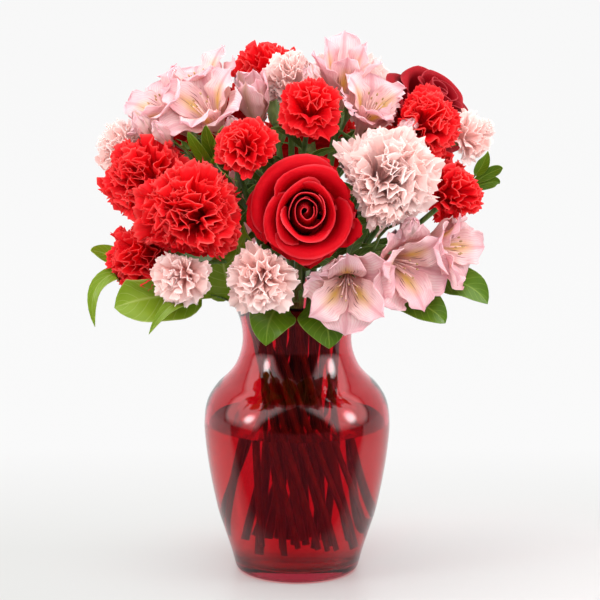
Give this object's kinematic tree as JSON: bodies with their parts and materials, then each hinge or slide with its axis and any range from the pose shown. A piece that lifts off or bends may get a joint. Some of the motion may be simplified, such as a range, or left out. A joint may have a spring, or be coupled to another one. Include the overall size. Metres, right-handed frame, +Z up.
{
  "type": "bouquet in a vase",
  "caption": "Mixed bouquet of roses, carnations and lilies of the Incas with green leaves, standing in water in a ruby glass vase.",
  "frame": {"origin": "centre of the flat underside of the vase's foot", "axes": "+Z up along the vase's axis, -Y towards the front of the bouquet, +X to the viewer's right"},
  "size_m": [0.2784, 0.2294, 0.3705],
  "materials": {
    "glass_ruby": "polished",
    "water": "clear",
    "rose_red": "velvety",
    "carnation_red": "matt",
    "carnation_pink": "matt",
    "lily_pink": "satin",
    "stem_green": "satin",
    "leaf_green": "glossy"
  },
  "bodies": {
    "root": {"carnation_back": "carnation_red", "carnation_back_right": "carnation_red", "carnation_back_right_stem": "stem_green", "carnation_back_stem": "stem_green", "carnation_left": "carnation_red", "carnation_left_stem": "stem_green", "carnation_low_left": "carnation_red", "carnation_low_left_stem": "stem_green", "carnation_near_left": "carnation_red", "carnation_near_left_stem": "stem_green", "carnation_pale_back": "carnation_pink", "carnation_pale_back_stem": "stem_green", "carnation_pale_front": "carnation_pink", "carnation_pale_front_stem": "stem_green", "carnation_pale_left": "carnation_pink", "carnation_pale_left_stem": "stem_green", "carnation_pale_low": "carnation_pink", "carnation_pale_low_stem": "stem_green", "carnation_pale_top": "carnation_pink", "carnation_pale_top_stem": "stem_green", "carnation_right": "carnation_red", "carnation_right_stem": "stem_green", "carnation_top": "carnation_red", "carnation_top_stem": "stem_green", "lily_back": "lily_pink", "lily_back_stem": "stem_green", "lily_low_right": "lily_pink", "lily_low_right_stem": "stem_green", "lily_top_centre": "lily_pink", "lily_top_centre_stem": "stem_green", "lily_top_left": "lily_pink", "lily_top_left_stem": "stem_green", "lily_top_right": "lily_pink", "lily_top_right_stem": "stem_green", "rose_back": "rose_red", "rose_back_stem": "stem_green", "rose_front": "rose_red", "rose_front_stem": "stem_green", "rose_right": "rose_red", "rose_right_stem": "stem_green", "salal_back": "leaf_green", "salal_centre": "leaf_green", "salal_left": "leaf_green", "salal_right": "leaf_green", "salal_upper": "leaf_green", "spray_pale_low_1": "carnation_pink", "spray_pale_low_2": "carnation_pink", "spray_pale_low_stem": "stem_green", "spray_pale_right_1": "carnation_pink", "spray_pale_right_2": "carnation_pink", "spray_pale_right_stem": "stem_green", "spray_red_left_1": "carnation_red", "spray_red_left_2": "carnation_red", "spray_red_left_stem": "stem_green", "spray_red_right_1": "carnation_red", "spray_red_right_2": "carnation_red", "spray_red_right_stem": "stem_green", "sprig_right": "leaf_green", "vase": "glass_ruby", "water": "water"}
  },
  "joints": []
}
